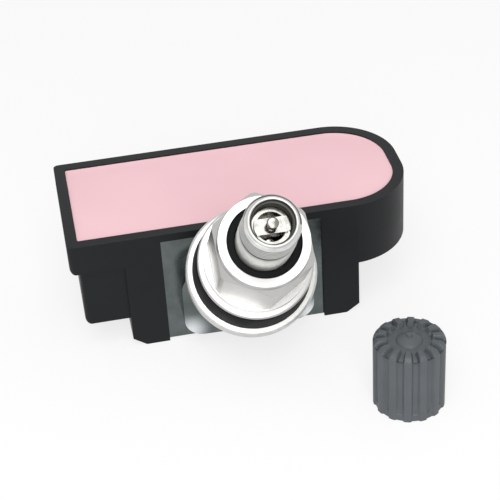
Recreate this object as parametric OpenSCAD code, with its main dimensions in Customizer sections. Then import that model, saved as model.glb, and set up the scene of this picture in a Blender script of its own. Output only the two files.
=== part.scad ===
/* [Housing] */
// Length of the housing from its square end to its round end
body_l = 53.2; // [51:0.1:60]
// Width of the housing from front to back
body_w = 24; // [23.5:0.1:28]
// Radius of the two corners of the round end
end_r = 10.1; // [8:0.1:11.5]
// Radius of the corners at the square end
corner_r = 0.8; // [0.3:0.1:1.5]
// Thickness of the housing's side walls
wall = 1.7; // [1:0.1:1.9]
// Thickness of the wall behind the stem bracket
web = 1.3; // [0.8:0.1:1.5]
// Depth of the tray at the square end, below the rim
tray_h = 4.85; // [3.5:0.05:7]
// Depth of the round end, below the rim
end_h = 10.5; // [10.2:0.1:13]
// Depth of the block below the rim
block_h = 14.4; // [13.4:0.1:16]
// How far the block stands in from the tray at its free sides
step_in = 1.3; // [0.5:0.1:2]
// How far the block's front lies behind the tray's front
front_step = 0.4; // [0.1:0.1:1]
// Radius of the lower edge at the square end
edge_r = 1; // [0.4:0.1:1.5]
// Depth of the potted cavity, below the rim
cavity_h = 9; // [8.8:0.1:9.4]

/* [Posts and channel] */
// Distance of the stem axis from the square end
stem_x = 25.9; // [25:0.1:28]
// Width of the channel between the two posts
channel_w = 24.4; // [22:0.1:25]
// Width of each post
post_w = 5.6; // [4:0.1:6]
// Depth of each post from front to back
post_d = 8.5; // [6:0.1:12]
// Height of the posts, below the rim
post_h = 19.6; // [18.5:0.1:22]
// Width of the chamfer at the foot of each post
post_chamfer_w = 2; // [0.5:0.1:3]
// Height of the chamfer at the foot of each post
post_chamfer_h = 1.4; // [0.5:0.1:2.5]
// Thickness of the rim above the bracket
lip_h = 1.25; // [1:0.05:2]
// Depth of the grooves in the posts that hold the bracket
groove_d = 1.2; // [0.6:0.1:2]

/* [Stem bracket] */
// Distance of the bracket's face behind the posts' front
plate_inset = 0.5; // [0.3:0.1:1]
// Thickness of the bracket's plate
plate_t = 2.5; // [2:0.1:3]
// Width of the foot block on the plate
foot_w = 20; // [16:0.1:22]
// How far the foot block stands out of the plate
foot_d = 3.7; // [2:0.1:4]
// Top of the foot block, below the rim
foot_top = 5.6; // [5:0.1:8]
// Bottom of the foot block, below the rim
foot_bottom = 17; // [16:0.1:18]
// Corner radius of the foot block
foot_r = 3; // [1:0.1:4]
// Radius of the round boss that carries the stem
boss_r = 6.8; // [6:0.1:7.1]
// Radius of the boss behind the plate, under the screw's head
rear_boss_r = 3.6; // [3.5:0.1:3.8]
// Length of the boss along the stem axis, from the housing's front to the screw's washer
rear_boss_l = 5.3; // [5:0.1:6]

/* [Valve stem] */
// Lean of the stem away from the vertical, in degrees
stem_lean = 43; // [40:0.5:46]
// Radius of the flange
flange_r = 9.6; // [9:0.1:10]
// Thickness of the flange
flange_t = 2.2; // [1.5:0.1:2.4]
// Length along the stem axis from the flange's back to the housing's front
neck_len = 8.8; // [8.6:0.1:10]
// Depth below the rim where the stem axis meets the housing's front
foot_drop = 11.35; // [11:0.05:11.8]
// Radius of the stem's neck behind the flange
neck_r = 5.6; // [4.5:0.1:6]
// Length of the neck that shows between flange and boss
neck_gap = 2; // [1.5:0.1:2.4]
// Radius of the spigot that sits in the bracket
spigot_r = 3; // [2.6:0.1:3.2]
// Length of the spigot
spigot_l = 7; // [6:0.1:7.4]
// Radius of the smooth stem
shank_r = 3.95; // [3.85:0.01:4]
// Radius of the stem's thread for the nut
nut_thread_r = 4.25; // [4.15:0.01:4.4]
// Radius of the thread for the valve cap
tip_thread_r = 3.85; // [3.8:0.01:3.9]
// Length of the thread for the valve cap, with the groove at its foot
tip_thread_l = 6; // [5:0.1:8]
// Radius of the groove at the foot of the thread
relief_r = 3.6; // [3.4:0.05:3.65]
// Width of the groove at the foot of the thread
relief_w = 0.6; // [0.5:0.1:1]
// Distance of the stem's tip from the rim seat
tip_s = 23.8; // [23:0.1:28]
// Radius of the mouth
mouth_r = 2.94; // [2.8:0.01:3]
// Radius of the air passage below the core
passage_r = 1.6; // [1:0.1:2]
// Radius of the cross hole that lets the air into the tyre
vent_r = 0.8; // [0.5:0.1:0.9]

/* [Grommet] */
// Height of the rubber grommet under the wheel rim
grommet_h = 5.2; // [4:0.1:6]
// Radius of the grommet at the flange
grommet_r = 8.7; // [8:0.1:9]
// Radius of the grommet at the wheel rim
grommet_top_r = 8.3; // [7.5:0.1:8.5]
// Radius of the grommet's neck in the rim hole
grommet_neck_r = 5.65; // [5.5:0.01:5.7]
// Length of the grommet's neck
grommet_neck_l = 2.8; // [1.5:0.1:3]

/* [Nut] */
// Radius of the nut's washer
washer_r = 8.3; // [7.6:0.1:8.6]
// Thickness of the nut's washer
washer_t = 0.9; // [0.8:0.1:2]
// Distance across the nut's flats
nut_af = 13; // [12.9:0.1:13.6]
// Radius of the round bar that the nut is made from, which rounds its corners
nut_bar_r = 7.3; // [7:0.05:7.4]
// Height of the whole nut
nut_h = 12.2; // [11:0.1:13]
// Radius of the nut's round foot
nut_foot_r = 7.5; // [7.3:0.1:8]
// Height of the nut's round foot
nut_foot_h = 1.4; // [1:0.1:3]
// Radius of the nut's flat front ring
nut_front_r = 6.3; // [6:0.05:6.5]
// Radius of the nut's round collar where it meets the hexagon
nut_collar_r = 6.4; // [6.3:0.05:6.45]
// Height of the round collar above the hexagon
nut_collar_h = 1.4; // [0.5:0.1:2.5]
// Height of the chamfer on the hexagon's corners
nut_chamfer_h = 0.6; // [0.3:0.1:2]
// Turn of the nut's corners about the stem, in degrees
nut_turn = 1; // [0:1:59]
// Radius of the black ring in the nut's front
ring_r = 5.1; // [4.9:0.05:5.4]
// Height of the black ring
ring_h = 1.9; // [1:0.1:2.5]
// How far the black ring lies below the nut's front
ring_inset = 0.3; // [0:0.1:1]

/* [Valve core] */
// Radius of the core's threaded plug
plug_r = 2.6; // [2.5:0.05:2.7]
// Height of the core's threaded plug
plug_h = 4.6; // [3.5:0.1:5]
// Distance of the plug's top below the stem's tip
plug_inset = 2; // [1.9:0.1:3]
// Width of the bridge across the plug
bridge_w = 2.1; // [1.8:0.1:2.6]
// Height of the bridge across the plug
bridge_h = 1.4; // [1:0.1:2]
// Radius of the core's barrel
barrel_r = 1.85; // [1.8:0.05:1.9]
// Length of the core's barrel
barrel_l = 8.5; // [8:0.1:10]
// Radius of the core pin's shaft
pin_r = 0.5; // [0.4:0.05:0.6]
// Radius of the core pin's head
pin_head_r = 0.8; // [0.7:0.05:0.9]
// Distance of the pin's head below the stem's tip
pin_inset = 0.4; // [0.2:0.1:0.8]
// Radius of the rubber seal on the core pin
seal_r = 1.75; // [1.6:0.05:1.8]
// Thickness of the rubber seal on the core pin
seal_h = 1.5; // [1:0.1:2]
// Turns of the core spring
spring_turns = 7; // [4:1:9]

/* [Valve cap] */
// Height of the valve cap
cap_h = 11.8; // [10.5:0.1:13]
// Radius of the cap's plain skirt
cap_skirt_r = 4.95; // [4.8:0.05:5.1]
// Height of the cap's plain skirt
cap_skirt_h = 1.1; // [0.8:0.1:2]
// Number of grip ribs on the cap
cap_ribs = 14; // [10:1:18]
// Radius of each grip rib
cap_rib_r = 0.8; // [0.5:0.05:0.9]
// Depth of the valleys between the ribs
cap_rib_h = 0.5; // [0.3:0.05:0.7]
// Turn of the grip ribs about the cap's axis, in degrees
cap_rib_turn = 7.5; // [0:0.5:25]
// Radius of the cap's flat top inside the ribs
cap_top_r = 3.2; // [2.8:0.05:3.6]
// Radius of the low cone in the middle of the top
cap_cone_r = 1.9; // [1.5:0.05:2.5]
// Radius to the outside of the ribs
cap_r = 5.2; // [5.1:0.05:5.6]
// Position of the cap to the right of the stem axis
cap_x = 19.4; // [17:0.1:26]
// Position of the cap in front of the rim seat
cap_y = 11.2; // [8:0.1:20]

/* [Electronics] */
// Gap between the button battery and the cavity, at the front and back
battery_gap = 0.975; // [0.8:0.005:1.5]
// Thickness of the button battery
battery_t = 3.2; // [2:0.1:3.3]
// Gap between the circuit board and the battery
board_gap = 1; // [0.5:0.1:2]
// Thickness of the circuit board
board_t = 1; // [0.8:0.1:1.2]
// Depth of the board's upper face, below the rim
board_top = 3.8; // [3.2:0.1:4]
// Side of the square sensor chip
chip_w = 5.6; // [4:0.1:7]
// Thickness of the sensor chip
chip_h = 1.8; // [1.2:0.1:2]

/* [Hidden] */
$fn = 64;

// Clearance of a running or sliding fit, on the radius
fit = 0.05;
// Clearance between the potting and what it holds
pot_gap = 0.02;
// Clearance round the screw's boss and head
recess_gap = 0.3;
// Travel of the core pin when it is pressed in
pin_travel = 1.2;
// Overshoot of a cutting body past the face it cuts
over = 1;

// Places along the stem axis, measured from the seat on the wheel rim
flange_front_s = -grommet_h;
flange_back_s = flange_front_s - flange_t;
boss_front_s = flange_back_s - neck_gap;
front_s = flange_back_s - neck_len;
spigot_end_s = boss_front_s - spigot_l;
rear_boss_s = front_s - rear_boss_l;
nut_s = washer_t;
nut_front_s = nut_s + nut_h;

// Place of the housing's square front corner of the rim
body_y = -front_s * sin(stem_lean);
body_z = front_s * cos(stem_lean) + foot_drop;
floor_z = body_z - post_h;

// The bracket's plate in the grooves of the posts
plate_w = channel_w + 2 * (groove_d - fit);
plate_back = plate_inset + plate_t;
plate_top = lip_h + fit;
plate_bottom = post_h - 0.2;

// The channel's walls and the posts behind the front face
channel_x = stem_x - channel_w / 2;
notch_y = plate_back + fit + web;
potting_lip = 0.5;
potting_drop = 0.25;
least_corner_r = 0.3;

// Gaps between the cavity's walls and what stands in it
side_gap = 0.5;
board_margin = 0.6;

// The battery, under the level of the board
tab_t = 0.2;
board_under = board_top + board_t;
battery_top = board_under + tab_t;
battery_under = battery_top + battery_t;
battery_r = (body_w - wall - notch_y) / 2 - battery_gap;
battery_x = body_l - wall - battery_r - side_gap;
battery_y = notch_y + battery_gap + battery_r;

// The circuit board and the parts on it
board_x = wall + side_gap;
board_y = notch_y + board_margin;
board_l = battery_x - battery_r - board_gap - board_x;
board_w = body_w - wall - board_margin - board_y;
chip_inset = 5;
chip_offset = 1;
chip_x = board_x + chip_inset;
chip_y = body_w / 2 + chip_offset;
port_r = 0.8;
gasket_r = 2;
crystal_size = [3.2, 2.5, 0.8];
crystal_inset = [14, 3];
crystal_at = [board_x + crystal_inset[0], board_y + crystal_inset[1], -board_top];
capacitor_size = [1.6, 0.8, 0.8];
capacitor_inset = [3, 2];
capacitor_pitch = 2.2;
capacitor_count = 4;

// The flat wire loop that sends the signal, on two legs over the board
loop_l = 20;
loop_w = 1.6;
loop_t = 0.5;
loop_h = 1.8;
loop_inset = [6, 3.2];
loop_at = [board_x + loop_inset[0], board_y + board_w - loop_inset[1], -board_top];

// The receiving coil under the board
coil_l = 11;
coil_w = 3;
coil_h = 2.6;
coil_flange = 1.2;
winding_t = 0.5;
coil_inset = [6, 4.6];
coil_x = board_x + board_l - coil_inset[0] - coil_l;
coil_y = board_y + board_w - coil_inset[1];

// The battery's welded tabs
tab_w = 3;
tab_lap = 2;
tab_on_board = 3;
tab_offset = 4;
tab_top_y = battery_y - tab_offset;
tab_bottom_y = battery_y + tab_lap / 2;
tab_stand = board_x + board_l - tab_t;

// The screw behind the bracket
screw_r = 1.7;
screw_gap = 0.2;
screw_head_r = 2.9;
screw_head_h = 2.2;
screw_washer_r = 3.4;
screw_washer_t = 0.5;
screw_grip = 4.5;
screw_socket_r = 1.4;
screw_socket_h = 1.3;

// The valve cap
cap_rib_drop = 0.4;
cap_rib_top = cap_h - cap_rib_drop;
cap_rib_rise = 0.75;
cap_top = cap_rib_top - cap_rib_rise;
cap_shoulder = 1;
cap_rib_taper = 0.6;
cap_nub_r = 0.7;
cap_nub_h = 0.3;
cap_nub_foot = 0.3;
cap_bore_r = tip_thread_r + 2 * fit;
cap_bore_h = 8.5;
cap_seal_h = 0.8;
cap_ledge = 0.9;

// The valve core along the stem axis
plug_top_s = tip_s - plug_inset;
plug_s = plug_top_s - plug_h;
barrel_s = plug_s - barrel_l;
pin_top_s = tip_s - pin_inset;
seal_s = barrel_s - seal_h;
core_bore_r = plug_r + fit;
core_seat_s = plug_s - 2.4;
wire_r = 0.14;
spring_r = 1.15;
spring_s = barrel_s + 0.8 + wire_r;
spring_top_s = plug_s - 0.6 - wire_r;
pin_collar_r = 1.35;

module in_body() {
    translate([-stem_x, body_y, body_z]) children();
}

module along_stem(s = 0) {
    rotate([stem_lean, 0, 0]) translate([0, 0, s]) children();
}

// A tube or a plain ring on the stem axis
module stem_tube(s, h, r, bore) {
    along_stem(s) difference() {
        cylinder(r = r, h = h);
        translate([0, 0, -over]) cylinder(r = bore, h = h + 2 * over);
    }
}

// The plan of the housing with small corners at one end and large ones at the other
module body_outline(inset = 0) {
    r1 = max(corner_r - inset, least_corner_r);
    r2 = end_r - inset;
    x2 = body_l - inset;
    w = body_w - 2 * inset;
    translate([inset + r1, inset]) square([x2 - inset - r1 - r2, w]);
    translate([inset, inset + r1]) square([r1 + 0.01, w - 2 * r1]);
    translate([x2 - r2 - 0.01, inset + r2]) square([r2 + 0.01, w - 2 * r2]);
    for (y = [inset + r1, inset + w - r1]) translate([inset + r1, y]) circle(r = r1);
    for (y = [inset + r2, inset + w - r2]) translate([x2 - r2, y]) circle(r = r2);
}

// A rectangle in X and Y with round corners, from the origin
module round_rect(l, w, r) {
    translate([r, 0]) square([l - 2 * r, w]);
    translate([0, r]) square([l, w - 2 * r]);
    for (x = [r, l - r], y = [r, w - r]) translate([x, y]) circle(r = r);
}

// What a round lower edge along Y leaves away, at the left end of a body
module edge_cut(r) {
    rotate([-90, 0, 0]) linear_extrude(body_w + 2 * over) difference() {
        translate([-over, -r]) square([r + over, r + over]);
        translate([r, -r]) circle(r = r);
    }
}

// A slab of the housing's plan between two depths below the rim
module body_slab(top, bottom, inset = 0) {
    translate([0, 0, -bottom]) linear_extrude(bottom - top) body_outline(inset);
}

// One post with its chamfered foot, its outer face at x = 0
module post() {
    translate([0, post_d, 0]) rotate([90, 0, 0]) linear_extrude(post_d) polygon([
        [0, -lip_h], [post_w, -lip_h], [post_w, -post_h],
        [post_chamfer_w, -post_h], [0, -post_h + post_chamfer_h]
    ]);
}

module posts() {
    translate([channel_x - post_w, 0, 0]) post();
    translate([channel_x + channel_w + post_w, 0, 0]) mirror([1, 0, 0]) post();
}

module housing_shell() {
    difference() {
        body_slab(0, tray_h);
        translate([0, -over, -tray_h]) edge_cut(edge_r);
    }
    block_l = channel_x + channel_w + post_w - step_in;
    block_w = body_w - step_in - front_step;
    difference() {
        translate([step_in, front_step, -block_h]) linear_extrude(block_h - tray_h + over)
            round_rect(block_l, block_w, corner_r);
        translate([step_in, -over, -block_h]) edge_cut(edge_r);
    }
    intersection() {
        body_slab(0, end_h);
        translate([block_l, -over, -end_h]) cube([body_l, body_w + 2 * over, end_h]);
    }
    posts();
}

// The space for the electronics, open to the top
module cavity() {
    body_slab(-over, potting_lip, wall);
    difference() {
        body_slab(0, cavity_h, wall);
        keep_w = channel_w + 2 * (groove_d + web);
        translate([stem_x - keep_w / 2, 0, -cavity_h - over])
            cube([keep_w, notch_y, cavity_h - potting_lip + over]);
    }
}

module housing() {
    color([0.13, 0.14, 0.14]) difference() {
        in_body() housing_shell();
        in_body() cavity();
        in_body() translate([channel_x, -over, -post_h - over])
            cube([channel_w, plate_back + fit + over, post_h + over - lip_h]);
        in_body() translate([channel_x - groove_d, plate_inset - fit, -post_h - over])
            cube([channel_w + 2 * groove_d, plate_t + 2 * fit, post_h + over - lip_h]);
        in_body() translate([chip_x, chip_y, -block_h - over]) cylinder(r = port_r, h = block_h);
        along_stem(2 * rear_boss_s) cylinder(r = rear_boss_r + recess_gap, h = front_s + 0.5 - 2 * rear_boss_s);
    }
}

// Everything that the potting flows around, grown by the gap
module potted_parts(gap) {
    board_space(gap);
    chip_space(gap);
    crystal_space(gap);
    capacitor_space(gap);
    loop_space(gap);
    coil_space(gap);
    battery_space(gap);
    tab_space(gap);
}

// A block from one corner, grown by a gap on every side
module block(corner, size, gap = 0) {
    translate(corner - [gap, gap, gap]) cube(size + 2 * [gap, gap, gap]);
}

module board_space(gap) {
    block([board_x, board_y, -board_under], [board_l, board_w, board_t], gap);
}

module chip_space(gap) {
    block([chip_x - chip_w / 2, chip_y - chip_w / 2, -board_under - chip_h], [chip_w, chip_w, chip_h], gap);
    translate([chip_x, chip_y, -cavity_h - over])
        cylinder(r = gasket_r + gap, h = cavity_h + over - board_under - chip_h / 2);
}

module crystal_space(gap) {
    block(crystal_at, crystal_size, gap);
}

module capacitor_space(gap) {
    for (i = [0 : capacitor_count - 1])
        block([board_x + capacitor_inset[0] + i * capacitor_pitch, board_y + capacitor_inset[1], -board_top],
            capacitor_size, gap);
}

module loop_space(gap) {
    block(loop_at, [loop_t, loop_w, loop_h], gap);
    block(loop_at + [loop_l - loop_t, 0, 0], [loop_t, loop_w, loop_h], gap);
    block(loop_at + [0, 0, loop_h - loop_t], [loop_l, loop_w, loop_t], gap);
}

module coil_space(gap) {
    block([coil_x, coil_y, -board_under - coil_h], [coil_l, coil_w, coil_h], gap);
}

module battery_space(gap) {
    translate([battery_x, battery_y, -battery_top - battery_t - gap])
        cylinder(r = battery_r + gap, h = battery_t + 2 * gap);
}

module top_tab_space(gap) {
    start = board_x + board_l - tab_on_board;
    block([start, tab_top_y, -battery_top], [battery_x + tab_lap - start, tab_w, tab_t], gap);
}

module bottom_tab_space(gap) {
    block([tab_stand, tab_bottom_y, -battery_under - tab_t],
        [battery_x - tab_stand + tab_lap, tab_w, tab_t], gap);
    block([tab_stand, tab_bottom_y, -battery_under - tab_t],
        [tab_t, tab_w, battery_under + tab_t - board_under], gap);
}

module tab_space(gap) {
    top_tab_space(gap);
    bottom_tab_space(gap);
}

module potting() {
    color([0.96, 0.8, 0.83]) in_body() difference() {
        intersection() {
            cavity();
            translate([0, 0, -cavity_h]) cube([body_l, body_w, cavity_h - potting_drop]);
        }
        potted_parts(pot_gap);
    }
}

module circuit_board() {
    color([0.1, 0.4, 0.2]) in_body() board_space(0);
}

module sensor_chip() {
    color([0.1, 0.1, 0.1]) in_body() difference() {
        block([chip_x - chip_w / 2, chip_y - chip_w / 2, -board_under - chip_h], [chip_w, chip_w, chip_h]);
        translate([chip_x, chip_y, -board_under - chip_h - over]) cylinder(r = port_r, h = over + chip_h / 2);
    }
}

module port_gasket() {
    color([0.55, 0.55, 0.55]) in_body() translate([chip_x, chip_y, -cavity_h]) difference() {
        h = cavity_h - board_under - chip_h;
        cylinder(r = gasket_r, h = h);
        translate([0, 0, -over]) cylinder(r = port_r, h = h + 2 * over);
    }
}

module crystal() {
    color([0.8, 0.8, 0.78]) in_body() crystal_space(0);
}

module chip_capacitors() {
    color([0.65, 0.55, 0.4]) in_body() capacitor_space(0);
}

module antenna_loop() {
    color([0.8, 0.65, 0.4]) in_body() loop_space(0);
}

module coil_core() {
    color([0.25, 0.25, 0.25]) in_body() {
        inner = [coil_l, coil_w - 2 * winding_t, coil_h - 2 * winding_t];
        block([coil_x, coil_y + winding_t, -board_under - coil_h + winding_t], inner);
        for (x = [coil_x, coil_x + coil_l - coil_flange])
            block([x, coil_y, -board_under - coil_h], [coil_flange, coil_w, coil_h]);
    }
}

module coil_winding() {
    color([0.75, 0.45, 0.2]) in_body() difference() {
        len = coil_l - 2 * coil_flange - 2 * pot_gap;
        block([coil_x + coil_flange + pot_gap, coil_y, -board_under - coil_h], [len, coil_w, coil_h]);
        block([coil_x, coil_y + winding_t, -board_under - coil_h + winding_t],
            [coil_l, coil_w - 2 * winding_t, coil_h - 2 * winding_t], pot_gap);
    }
}

module battery_cell() {
    color([0.75, 0.76, 0.78]) in_body() battery_space(0);
}

module battery_tab_top() {
    color([0.82, 0.82, 0.8]) in_body() top_tab_space(0);
}

module battery_tab_bottom() {
    color([0.82, 0.82, 0.8]) in_body() bottom_tab_space(0);
}

module stem_bracket() {
    color([0.4, 0.44, 0.44]) difference() {
        union() {
            in_body() translate([stem_x - plate_w / 2, plate_inset, -plate_bottom])
                cube([plate_w, plate_t, plate_bottom - plate_top]);
            in_body() translate([stem_x - foot_w / 2, plate_inset + over, -foot_bottom])
                rotate([90, 0, 0]) linear_extrude(foot_d + over)
                round_rect(foot_w, foot_bottom - foot_top, foot_r);
            difference() {
                along_stem(1.6 * front_s) cylinder(r = boss_r, h = boss_front_s - 1.6 * front_s);
                in_body() translate([0, plate_back - over / 2, -2 * post_h])
                    cube([body_l, body_w, 2 * post_h]);
                in_body() translate([0, -body_w, -2 * post_h - foot_bottom])
                    cube([body_l, 2 * body_w, 2 * post_h]);
            }
            along_stem(rear_boss_s) cylinder(r = rear_boss_r, h = front_s - rear_boss_s);
        }
        along_stem(spigot_end_s - 0.2) cylinder(r = spigot_r + fit, h = spigot_l + over);
        along_stem(rear_boss_s - over) cylinder(r = screw_r + screw_gap, h = spigot_end_s - rear_boss_s + 2 * over);
        along_stem(2 * rear_boss_s) cylinder(r = screw_washer_r + recess_gap, h = -rear_boss_s);
    }
}

module screw_washer() {
    color([0.7, 0.7, 0.68]) stem_tube(rear_boss_s - screw_washer_t, screw_washer_t, screw_washer_r, screw_r + screw_gap / 2);
}

module stem_screw() {
    head_s = rear_boss_s - screw_washer_t - screw_head_h;
    color([0.72, 0.72, 0.7]) along_stem(head_s) difference() {
        union() {
            cylinder(r = screw_head_r, h = screw_head_h);
            cylinder(r = screw_r, h = spigot_end_s + screw_grip - head_s);
        }
        translate([0, 0, -over]) cylinder(r = screw_socket_r, h = over + screw_socket_h, $fn = 6);
    }
}

// Half section of the valve stem, distance from the axis and place along it
module stem_profile() {
    edge = 0.4;
    slope = 0.1;
    tip_chamfer = 0.6;
    tip_bottom = tip_s - tip_thread_l;
    polygon([
        [0, spigot_end_s], [spigot_r, spigot_end_s], [spigot_r, boss_front_s],
        [neck_r, boss_front_s], [neck_r, flange_back_s], [flange_r - edge, flange_back_s],
        [flange_r, flange_back_s + edge], [flange_r, flange_front_s - edge],
        [flange_r - edge, flange_front_s], [shank_r, flange_front_s],
        [shank_r, grommet_neck_l + 0.2], [nut_thread_r, grommet_neck_l + 0.4],
        [nut_thread_r, nut_front_s - ring_inset - ring_h - 1.2],
        [shank_r, nut_front_s - ring_inset - ring_h - 0.9],
        [shank_r, tip_bottom], [relief_r, tip_bottom + slope], [relief_r, tip_bottom + slope + relief_w],
        [tip_thread_r, tip_bottom + 2 * slope + relief_w],
        [tip_thread_r, tip_s - tip_chamfer], [tip_thread_r - tip_chamfer, tip_s], [0, tip_s]
    ]);
}

module valve_stem() {
    color([0.78, 0.79, 0.79]) difference() {
        along_stem() rotate_extrude() stem_profile();
        along_stem(tip_s - 0.8) cylinder(r = mouth_r, h = 0.8 + over);
        along_stem(core_seat_s) cylinder(r = core_bore_r, h = tip_s - core_seat_s);
        along_stem(seal_s - pin_travel - 0.8) cylinder(r = barrel_r + 0.25, h = tip_s - seal_s);
        along_stem(flange_back_s - neck_gap / 2) cylinder(r = passage_r, h = tip_s - flange_back_s);
        along_stem(flange_back_s - neck_gap / 2) rotate([0, 90, 0])
            cylinder(r = vent_r, h = 2 * neck_r + 2 * over, center = true);
        along_stem(spigot_end_s - over) cylinder(r = screw_r + fit, h = screw_grip + 0.5 + over);
    }
}

module rim_grommet() {
    round_top = 0.6;
    bore = shank_r + fit;
    color([0.12, 0.12, 0.12]) along_stem() rotate_extrude() polygon([
        [bore, flange_front_s], [grommet_r, flange_front_s], [grommet_top_r, -round_top],
        [grommet_top_r - round_top, 0], [grommet_neck_r, 0],
        [grommet_neck_r, grommet_neck_l - 0.3], [grommet_neck_r - 0.3, grommet_neck_l],
        [bore, grommet_neck_l]
    ]);
}

module nut_washer() {
    bore = grommet_neck_r + 2 * fit;
    edge = 0.35;
    color([0.75, 0.76, 0.76]) along_stem() rotate_extrude() polygon([
        [bore, 0], [washer_r - edge, 0], [washer_r, edge],
        [washer_r, washer_t - edge], [washer_r - edge, washer_t], [bore, washer_t]
    ]);
}

module hex_nut() {
    collar_s = nut_front_s - nut_collar_h;
    pocket_s = nut_front_s - ring_inset - ring_h;
    color([0.82, 0.83, 0.83]) along_stem() difference() {
        union() {
            intersection() {
                translate([0, 0, nut_s]) rotate([0, 0, 90 + nut_turn])
                    cylinder(r = nut_af / sqrt(3), h = nut_h, $fn = 6);
                rotate_extrude() polygon([
                    [0, nut_s], [nut_bar_r, nut_s], [nut_bar_r, collar_s - nut_chamfer_h],
                    [nut_collar_r, collar_s], [nut_front_r, nut_front_s], [0, nut_front_s]
                ]);
            }
            translate([0, 0, nut_s]) cylinder(r = nut_foot_r, h = nut_foot_h);
        }
        translate([0, 0, nut_s - over]) cylinder(r = nut_thread_r + fit, h = nut_h + 2 * over);
        translate([0, 0, nut_s - over])
            cylinder(r = grommet_neck_r + 2 * fit, h = grommet_neck_l - nut_s + 0.3 + over);
        translate([0, 0, pocket_s]) cylinder(r = ring_r, h = nut_h);
    }
}

module nut_ring() {
    s = nut_front_s - ring_inset - ring_h;
    color([0.1, 0.1, 0.1]) stem_tube(s, ring_h, ring_r, shank_r + 2 * fit);
}

module core_plug() {
    bridge_s = plug_top_s - bridge_h;
    color([0.8, 0.72, 0.5]) difference() {
        union() {
            stem_tube(plug_s, plug_h - 0.6, plug_r, plug_r - 0.6);
            intersection() {
                along_stem(plug_s) cylinder(r = plug_r - 0.3, h = plug_h);
                along_stem(bridge_s - 0.6) translate([-plug_r, -bridge_w / 2, 0])
                    cube([2 * plug_r, bridge_w, bridge_h + 0.6]);
            }
            stem_tube(plug_s, 0.6, plug_r, pin_r + fit);
        }
        along_stem(plug_s - over) cylinder(r = pin_r + fit, h = plug_h + 2 * over);
        along_stem(plug_s - over) for (a = [0, 180]) rotate([0, 0, a])
            translate([0, 1.25, 0]) cylinder(r = 0.5, h = 2 * over);
    }
}

module core_barrel() {
    color([0.8, 0.7, 0.45]) {
        stem_tube(barrel_s + 0.8, barrel_l - 0.8, barrel_r, barrel_r - 0.4);
        stem_tube(barrel_s, 0.8, barrel_r, pin_r + 0.3);
    }
}

module core_gasket() {
    color([0.85, 0.3, 0.25]) stem_tube(core_seat_s, 2.2, core_bore_r - 0.1, barrel_r + fit);
}

module core_pin() {
    color([0.8, 0.74, 0.55]) {
        along_stem(seal_s) cylinder(r = pin_r, h = pin_top_s - seal_s);
        along_stem(pin_top_s - 0.3) cylinder(r = pin_head_r, h = 0.3);
        along_stem(spring_top_s + wire_r) cylinder(r = pin_collar_r, h = 0.3);
    }
}

module core_seal() {
    color([0.15, 0.15, 0.15]) stem_tube(seal_s, seal_h, seal_r, pin_r);
}

// A coil of round wire about the stem axis, as rings of points along the helix
spring_steps = 14;
wire_sides = 6;
function spring_point(i, j) =
    let (
        a = 360 * i / spring_steps,
        b = 360 * j / wire_sides,
        r = spring_r + wire_r * cos(b),
        rise = (spring_top_s - spring_s) * i / (spring_turns * spring_steps)
    ) [r * cos(a), r * sin(a), rise + wire_r * sin(b)];

module core_spring() {
    rings = spring_turns * spring_steps;
    points = [for (i = [0 : rings], j = [0 : wire_sides - 1]) spring_point(i, j)];
    sides = [
        for (i = [0 : rings - 1], j = [0 : wire_sides - 1])
            let (k = (j + 1) % wire_sides, a = i * wire_sides, b = a + wire_sides)
            [a + j, b + j, b + k, a + k]
    ];
    first = [for (j = [0 : wire_sides - 1]) j];
    last = [for (j = [wire_sides - 1 : -1 : 0]) rings * wire_sides + j];
    color([0.8, 0.8, 0.78]) along_stem(spring_s) polyhedron(points, concat(sides, [first, last]));
}

module at_cap() {
    translate([cap_x, -cap_y, floor_z]) children();
}

// The cap's core, or the turned shape that its ribs are cut to, with a rounded shoulder
module cap_round(r, top) {
    rotate_extrude() polygon(concat(
        [[0, 0], [r, 0]],
        [for (a = [0 : 30 : 90]) [r - cap_shoulder * (1 - cos(a)), top - cap_shoulder * (1 - sin(a))]],
        [[0, top]]
    ));
}

// One grip rib from the cap's foot over its shoulder to the flat top, along X
module cap_rib() {
    rib_at = cap_r - cap_rib_r;
    inner = cap_rib_taper * cap_rib_r;
    translate([rib_at, 0, 0]) cylinder(r = cap_rib_r, h = cap_rib_top, $fn = 24);
    linear_extrude(cap_rib_top) polygon([
        [cap_top_r, -inner], [rib_at, -cap_rib_r], [rib_at, cap_rib_r], [cap_top_r, inner]
    ]);
}

module valve_cap() {
    color([0.36, 0.38, 0.4]) at_cap() difference() {
        union() {
            cylinder(r = cap_skirt_r, h = cap_skirt_h);
            cap_round(cap_r - cap_rib_h, cap_top);
            rotate_extrude() polygon([
                [0, cap_top - over], [cap_cone_r, cap_top - over], [cap_cone_r, cap_top],
                [cap_nub_r + cap_nub_foot, cap_h - cap_nub_h], [cap_nub_r, cap_h], [0, cap_h]
            ]);
            intersection() {
                cap_round(cap_r + fit, cap_rib_top);
                for (i = [0 : cap_ribs - 1]) rotate([0, 0, 90 + cap_rib_turn + 360 * i / cap_ribs]) cap_rib();
            }
        }
        translate([0, 0, -over]) cylinder(r = cap_bore_r, h = cap_bore_h + over);
        translate([0, 0, -over]) cylinder(r = cap_bore_r - cap_ledge, h = cap_bore_h + cap_seal_h + over);
    }
}

module cap_seal() {
    color([0.15, 0.15, 0.15]) at_cap() translate([0, 0, cap_bore_h])
        cylinder(r = cap_bore_r - cap_ledge, h = cap_seal_h);
}

housing();
potting();
circuit_board();
sensor_chip();
port_gasket();
crystal();
chip_capacitors();
antenna_loop();
coil_core();
coil_winding();
battery_cell();
battery_tab_top();
battery_tab_bottom();
stem_bracket();
stem_screw();
screw_washer();
valve_stem();
rim_grommet();
nut_washer();
hex_nut();
nut_ring();
core_plug();
core_barrel();
core_gasket();
core_pin();
core_spring();
core_seal();
valve_cap();
cap_seal();
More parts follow.
